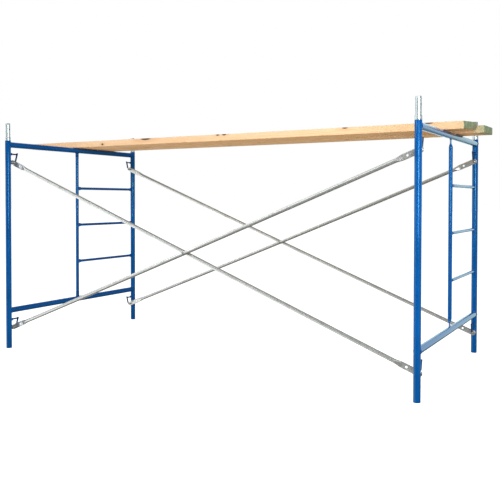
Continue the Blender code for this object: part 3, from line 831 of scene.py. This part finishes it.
def brace_mesh(half_span, half_rise):
    """A brace that falls towards +X, centred between its studs, with its holes punched."""
    half_length = math.hypot(half_span, half_rise)
    half = half_brace(half_length)
    row = [(-z, wide, thin) for z, wide, thin in half] + [(0.0, BRACE_RADIUS, BRACE_RADIUS)] + half[::-1]
    outer, inner = [], []
    for z, wide, thin in row:
        shift = 0.0 if abs(z) >= half_length else brace_bow(z, half_length)
        outer.append(stadium(wide, thin, z, shift, TUBE_SIDES))
        inner.append(stadium(wide - THIN_WALL, thin - THIN_WALL, z, shift, TUBE_SIDES))
    build = bmesh.new()
    skin(build, outer + inner[::-1], around=True)
    mesh = finished(build, "brace", Matrix(((0, 0, 1, 0), (0, 1, 0, 0), (-1, 0, 0, 0), (0, 0, 0, 1))))
    punches = [(0.0, RIVET_HOLE_RADIUS)]
    for side in (-1, 1):
        punches.append((side * half_length, BRACE_HOLE_RADIUS))
        punches.append((side * (half_length - BRACE_SECOND_HOLE), BRACE_HOLE_RADIUS))
    reach = 4 * BRACE_RADIUS
    cutters = [rod((x, -reach, 0.0), (x, reach, 0.0), radius) for x, radius in punches]
    pierced = combined(mesh, "DIFFERENCE", cutters)
    fall = math.atan2(half_rise, half_span)
    pierced.transform(Matrix.Rotation(fall, 4, "Y"))
    for vertex in pierced.vertices:
        square = (vertex.co.x / half_span) ** 2
        vertex.co.z -= BRACE_SAG * (1 - square) * (5 - square) / 5
    pierced.transform(Matrix.Rotation(-fall, 4, "Y"))
    return pierced, fall


def rivet_mesh():
    """A rivet along Y with a domed head on a washer at each end."""
    under = 2 * (BRACE_RADIUS + GAP) + GAP
    dome = [(under, RIVET_RADIUS), (under, RIVET_HEAD_RADIUS), (under + 0.0011, RIVET_HEAD_RADIUS),
            (under + 0.0012, RIVET_HEAD_RADIUS * 0.84)]
    for degrees in (20, 40, 58, 74, 86):
        turn = math.radians(degrees)
        dome.append((under + 0.0012 + (RIVET_HEAD_HEIGHT - 0.0012) * math.sin(turn),
                     RIVET_HEAD_RADIUS * 0.84 * math.cos(turn)))
    profile = [(-z, radius) for z, radius in dome[::-1]] + dome
    build = bmesh.new()
    turned(build, profile, TUBE_SIDES)
    return finished(build, "rivet", Matrix.Rotation(math.radians(-90), 4, "X"))


def make_braces(galvanised, zinc):
    """Both pairs of cross braces, each riveted at its crossing."""
    lower, upper = (middle(f"brace_stud_left_near_{level}").z for level in LEVELS)
    half_span = (leg_spot("right", "near").x - leg_spot("left", "near").x) / 2
    mesh, fall = brace_mesh(half_span, (upper - lower) / 2)
    rivet = rivet_mesh()
    for leg, inward in LEGS.items():
        spot = (leg_spot("left", leg) + leg_spot("right", leg)) / 2
        spot += Vector((0.0, inward * BRACE_PLANE, (lower + upper) / 2))
        down = Matrix.Rotation(fall, 4, "Y")
        put(f"cross_brace_{leg}_falling", mesh, galvanised, spot, down)
        put(f"cross_brace_{leg}_rising", mesh, galvanised, spot,
            Matrix.Rotation(math.pi, 4, "Z") @ down)
        put(f"brace_rivet_{leg}", rivet, zinc, spot - Vector((0.0, 0.0, BRACE_SAG)))


# Coupling pins

def pin_mesh():
    """A coupling pin: an open tube with a collar round its middle and a cross hole in each half."""
    half_collar = PIN_COLLAR_HEIGHT / 2
    end = half_collar + PIN_LENGTH
    outer = rounded([
        (-end + 0.003, PIN_BORE_RADIUS), (-end, PIN_BORE_RADIUS), (-end, PIN_TIP_RADIUS),
        (PIN_TIP_LENGTH - end, PIN_RADIUS), (-half_collar - 0.004, PIN_RADIUS),
    ], 0.0007)
    outer += rounded([
        (-half_collar, PIN_RADIUS), (-half_collar, PIN_COLLAR_RADIUS),
        (half_collar - PIN_COLLAR_SLOPE, PIN_COLLAR_RADIUS), (half_collar, PIN_COLLAR_TOP_RADIUS),
        (half_collar, PIN_RADIUS),
    ], 0.0009)
    outer += rounded([
        (half_collar + 0.004, PIN_RADIUS), (end - PIN_TIP_LENGTH, PIN_RADIUS), (end, PIN_TIP_RADIUS),
        (end, PIN_BORE_RADIUS), (end - 0.003, PIN_BORE_RADIUS),
    ], 0.0007)
    build = bmesh.new()
    turned(build, outer, TUBE_SIDES, around=True)
    tube = finished(build, "pin")
    reach = PIN_COLLAR_RADIUS * 2
    cutters = []
    for z in (PIN_HOLE_INSET - end, end - PIN_HOLE_INSET):
        cutters.append(rod((-reach, 0.0, z), (reach, 0.0, z), PIN_HOLE_RADIUS))
    return combined(tube, "DIFFERENCE", cutters)


def make_pins(zinc):
    """A coupling pin in the top of every leg."""
    mesh = pin_mesh()
    for which in FRAMES:
        for leg in LEGS:
            node = f"coupling_pin_{which}_{leg}"
            put(node, mesh, zinc, leg_spot(which, leg, middle(node).z))


# Planks

def warped(spot, twist):
    """A plank's point after the plank has leant about its near lower edge towards its right end."""
    turn = twist * max(0.0, 1 + min(spot.x, 0.0) / PLANK_TWIST_REACH) ** 2
    return Vector((spot.x, spot.y * math.cos(turn) - spot.z * math.sin(turn),
                   spot.y * math.sin(turn) + spot.z * math.cos(turn)))


def plank_section(wide):
    """Points round a plank's section with eased corners, and how near each is to a corner."""
    points = []
    radius, arcs = PLANK_ARRIS, 4
    corners = [(wide - radius, PLANK_THICKNESS - radius, 0), (radius, PLANK_THICKNESS - radius, 90),
               (radius, radius, 180), (wide - radius, radius, 270)]
    for number, (y, z, begin) in enumerate(corners):
        for step in range(arcs + 1):
            turn = math.radians(begin + 90 * step / arcs)
            points.append((y + radius * math.cos(turn), z + radius * math.sin(turn), 1.0))
        next_y, next_z, _ = corners[(number + 1) % 4]
        start_y, start_z, _ = points[-1]
        spans = 14 if number % 2 == 0 else 5
        for step in range(1, spans):
            part = step / spans
            near = max(0.0, 1 - 8 * min(part, 1 - part))
            points.append((start_y + (next_y - y) * part, start_z + (next_z - z) * part, near))
    return points


def plank_stations():
    """Distances from a plank's right end, with how far the section is pulled in at each."""
    inset = 0.0022
    end = [(0.0, inset), (0.0006, 0.0009), (inset, 0.0)]
    body = [(inset + (PLANK_LENGTH - 2 * inset) * step / PLANK_STATIONS, 0.0)
            for step in range(1, PLANK_STATIONS)]
    return end + body + [(PLANK_LENGTH - back, pull) for back, pull in reversed(end)]


def plank_mesh(wide, twist, seed, supports):
    """A sawn plank from x = -length to 0: eased, nicked edges and a slight sag."""
    section = plank_section(wide)
    low_support, high_support = supports
    on_skin = PLANK_ARRIS + 0.0001
    rings = []
    for back, pull in plank_stations():
        x = -back
        place = (2 * x - low_support - high_support) / (high_support - low_support)
        square = min(place * place, 1.0)
        sag = PLANK_SAG * (1 - square) * (5 - square) / 5
        ring = []
        for y, z, corner in section:
            nick = max(0.0, noise.noise(Vector((x * 9.0, y * 40, z * 40 + seed))) - 0.34) * PLANK_NICK
            wave = 0.5 + 0.5 * noise.noise(Vector((x * 2.2, y * 7, z * 7 + seed)))
            inward = pull + corner * nick + PLANK_WAVE * wave
            spot = Vector((x, y, z - sag))
            for axis, at, size in (("y", y, wide), ("z", z, PLANK_THICKNESS)):
                if min(at, size - at) < on_skin:
                    shift = math.copysign(min(abs(size / 2 - at), inward), size / 2 - at)
                    setattr(spot, axis, getattr(spot, axis) + shift)
            ring.append(warped(spot, twist))
        rings.append(ring)
    build = bmesh.new()
    skin(build, rings, capped=True)
    return finished(build, "plank")


def check_cutters(wide, twist, seed):
    """Thin wedges that open the drying checks in a plank's ends."""
    cutters = []
    for number in range(END_CHECKS):
        chance = noise.random_unit_vector()
        end, way = (0.0, -1) if number % 2 == 0 else (-PLANK_LENGTH, 1)
        y = wide * (0.12 + 0.76 * ((number * 0.381 + seed * 0.27) % 1.0))
        depth = 0.045 + 0.05 * abs(chance.x)
        width = 0.0009 + 0.0007 * abs(chance.y)
        drift = 0.004 * chance.z
        low, high = (-0.002, PLANK_THICKNESS * 0.62) if number % 3 == 0 else (
            PLANK_THICKNESS * 0.35, PLANK_THICKNESS + 0.002)
        build = bmesh.new()
        rings = []
        for z in (low, high):
            ring = [Vector((end - way * 0.002, y - width, z)),
                    Vector((end - way * 0.002, y + width, z)),
                    Vector((end + way * depth, y + drift, z))]
            rings.append([warped(spot, twist) for spot in ring])
        skin(build, rings, capped=True)
        cutters.append(finished(build, "check"))
    return cutters


def make_planks():
    """Two planks side by side on the top rails, lying slightly askew."""
    boards = {
        "near": dict(
            knots=[(-0.22, 0.002, 0.045, 0.046, 0.010), (-0.765, 0.002, 0.045, 0.024, 0.010),
                   (-1.70, 0.0, 0.043, 0.020, 0.009), (-1.755, 0.0, 0.044, 0.018, 0.009),
                   (-2.42, 0.0, 0.041, 0.052, 0.010), (-2.86, 0.0, 0.016, 0.013, 0.008),
                   (-1.22, 0.150, 0.047, 0.019, 0.014), (-3.22, 0.105, 0.0, 0.021, 0.015),
                   (-0.55, 0.170, 0.0, 0.018, 0.014)],
            pith=(0.09, -0.055), spray_and_shade=0.30,
            shades=[(0.84, 0.565, 0.340), (0.93, 0.675, 0.455), (0.66, 0.385, 0.190)]),
        "far": dict(
            knots=[(-0.41, 0.100, 0.047, 0.024, 0.015), (-1.38, 0.200, 0.030, 0.018, 0.010),
                   (-1.95, 0.070, 0.0, 0.022, 0.016), (-2.66, 0.160, 0.047, 0.020, 0.013),
                   (-3.30, 0.205, 0.018, 0.015, 0.009), (-0.95, 0.045, 0.0, 0.017, 0.012)],
            # The far plank's heavier mist also darkens its end stub as painted shade
            pith=(0.16, 0.115), spray_and_shade=0.75,
            shades=[(0.86, 0.610, 0.410), (0.92, 0.700, 0.500), (0.66, 0.43, 0.23)]),
    }
    turn = Matrix.Rotation(PLANK_SKEW, 4, "Z")
    left, right = (leg_spot(which, "near") for which in FRAMES)
    reach = right.x - left.x + PLANK_OVERHANG
    corner = Vector((left.x + reach, left.y + PLANK_NEAR_EDGE + reach * math.tan(PLANK_SKEW),
                     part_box("plank_near")[0].z))
    noise.seed_set(7)
    for seed, (name, facts) in enumerate(boards.items()):
        wide, twist = PLANK_WIDTHS[name], PLANK_TWISTS[name]
        supports = [(leg.x - corner.x) / math.cos(PLANK_SKEW) for leg in (left, right)]
        mesh = combined(plank_mesh(wide, twist, seed * 11.0, supports), "DIFFERENCE",
                        check_cutters(wide, twist, seed))
        timber = timber_material(f"sawn_timber_{name}", **facts)
        put(f"plank_{name}", mesh, timber, corner, turn)
        corner = corner + turn @ Vector((PLANK_STAGGER, wide + PLANK_SPACE, 0.0))


# Studio

def make_camera():
    """The camera, looking across the bay from in front of its right-hand frame."""
    yaw, pitch, roll = 0.49449, -0.020944, 0.0012539
    foot = leg_spot("left", "near", 0.0)
    ahead = Vector((-math.sin(yaw) * math.cos(pitch), math.cos(yaw) * math.cos(pitch), math.sin(pitch)))
    right = Vector((math.cos(yaw), math.sin(yaw), 0.0))
    above = right.cross(ahead)
    across = right * math.cos(roll) + above * math.sin(roll)
    above = above * math.cos(roll) - right * math.sin(roll)
    data = bpy.data.cameras.new("camera")
    data.sensor_width = 36.0
    data.lens = 52.77
    data.shift_x, data.shift_y = -0.0035, -0.07036
    data.clip_start, data.clip_end = 0.05, 200.0
    camera = bpy.data.objects.new("camera", data)
    bpy.context.scene.collection.objects.link(camera)
    turn = Matrix((across, above, -ahead)).transposed().to_4x4()
    camera.matrix_world = Matrix.Translation(foot + Vector((4.13192, -3.89314, 1.09592))) @ turn
    bpy.context.scene.camera = camera


def make_world():
    """A white studio: even light, a pale backdrop behind the bay and dark floor reflections."""
    world = bpy.data.worlds.new("studio")
    world.use_nodes = True
    world.node_tree.nodes.clear()
    sky = Nodes(world.node_tree)
    ray = sky.add("LightPath").outputs
    x, y, z = sky.add("SeparateXYZ", {0: sky.add("TexCoord").outputs["Generated"]}).outputs
    level = sky.calc("ABSOLUTE", z)
    ahead = sky.ramp(y, 0.80, 0.96)
    behind = sky.times(ahead, sky.ramp(z, -0.36, -0.08, 0.0, 1.4))
    beside = sky.times(sky.ramp(x, -0.20, -0.75), sky.ramp(level, 0.90, 0.62, 0.0, 1.5))
    slot = sky.times(sky.ramp(z, 0.095, 0.12), sky.ramp(z, 0.45, 0.32))
    beside = sky.times(beside, sky.minus(1.0, sky.times(slot, 0.75)))
    right = sky.times(sky.ramp(x, 0.45, 0.85), sky.ramp(level, 0.5, 0.3, 0.0, 0.45))
    front = sky.ramp(y, 0.2, -0.5, 0.10, 0.20)
    overhead = sky.ramp(z, 0.5, 0.95, 0.0, 0.15)
    shine = sky.calc("MAXIMUM", sky.calc("MAXIMUM", behind, beside), right)
    shine = sky.plus(shine, sky.plus(front, overhead))
    warm_floor = sky.times(sky.ramp(z, 0.05, -0.35), ray["Is Diffuse Ray"])
    tone = sky.mix(warm_floor, (1.0, 1.0, 1.0), (1.30, 1.05, 0.66))
    tone = sky.mix(sky.times(ahead, ray["Is Glossy Ray"]), tone, (0.78, 1.02, 1.03))
    lit = sky.add("Mix", {0: ray["Is Glossy Ray"], 2: 0.50, 3: shine}).outputs[0]
    seen = sky.add("Mix", {0: ray["Is Camera Ray"], 2: lit, 3: 1.0}).outputs[0]
    light = sky.add("Background", {"Color": tone, "Strength": seen})
    sky.add("OutputWorld", {"Surface": light.outputs[0]}).is_active_output = True
    bpy.context.scene.world = world


def make_floor():
    """A plain white floor, pale enough to meet the backdrop without a line."""
    white = new_material("studio_floor", {
        "Roughness": 0.9, "Specular_IOR_Level": 0.0, "Base_Color": (0.9, 0.9, 0.9, 1.0),
        "Emission_Color": (1.0, 1.0, 1.0, 1.0), "Emission_Strength": 0.72})
    build = bmesh.new()
    bmesh.ops.create_grid(build, x_segments=1, y_segments=1, size=60.0)
    mesh = bpy.data.meshes.new("studio_floor")
    build.to_mesh(mesh)
    build.free()
    mesh.materials.append(white)
    floor = bpy.data.objects.new("studio_floor", mesh)
    bpy.context.scene.collection.objects.link(floor)
    floor.location.z = -GAP
    floor.visible_glossy = False
    floor.visible_diffuse = False


def make_lights():
    """Soft boxes: four strips that the tubes reflect, and a key light that they don't."""
    for name, spot, target, size, power, reflected in (
            ("strip", (3.08, -2.95, 1.92), (0.14, 0.0, 1.3), (1.25, 2.3), 52.0, True),
            ("far_strip", (4.63, -5.37, 1.92), (0.14, 0.0, 1.3), (1.9, 2.3), 150.0, True),
            ("brace_strip", (-1.4, -4.5, 3.7), (0.1, -0.74, 0.8), (3.4, 0.40), 20.0, True),
            ("side_strip", (-3.9, -2.9, 3.2), (0.0, -0.74, 0.8), (1.8, 0.7), 16.0, True),
            ("key", (2.0, -6.2, 2.9), (0.14, 0.0, 0.8), (3.5, 2.5), 125.0, False)):
        data = bpy.data.lights.new(name, "AREA")
        data.shape = "RECTANGLE"
        data.size, data.size_y = size
        data.energy = power
        lamp = bpy.data.objects.new(name, data)
        bpy.context.scene.collection.objects.link(lamp)
        lamp.location = spot
        lamp.rotation_euler = (Vector(target) - Vector(spot)).to_track_quat("-Z", "Y").to_euler()
        lamp.visible_camera = False
        lamp.visible_glossy = reflected


def main():
    """Build every piece, then the studio round them."""
    blues = (0.0005, 0.060, 0.245), (0.0006, 0.074, 0.300)
    paint = paint_material("blue_enamel", *blues, 0.5)
    rail_paint = paint_material("blue_enamel_across", *blues, 0.5, "Y")
    dark_paint = paint_material("dark_blue_enamel", (0.0006, 0.016, 0.070), (0.001, 0.022, 0.095), 0.4)
    galvanised = galvanised_material()
    stud_zinc = zinc_material("dull_zinc", (0.40, 0.41, 0.41), (0.22, 0.225, 0.23))
    pin_zinc = zinc_material("bright_zinc", (0.60, 0.69, 0.71), (0.42, 0.49, 0.51))
    make_legs(paint)
    make_rails(rail_paint)
    make_stiles(paint)
    make_rungs(rail_paint)
    make_stud_sets(paint, dark_paint, stud_zinc)
    make_braces(galvanised, stud_zinc)
    make_pins(pin_zinc)
    make_planks()
    make_camera()
    make_world()
    make_floor()
    make_lights()
    bpy.context.scene.view_settings.view_transform = "Standard"


main()
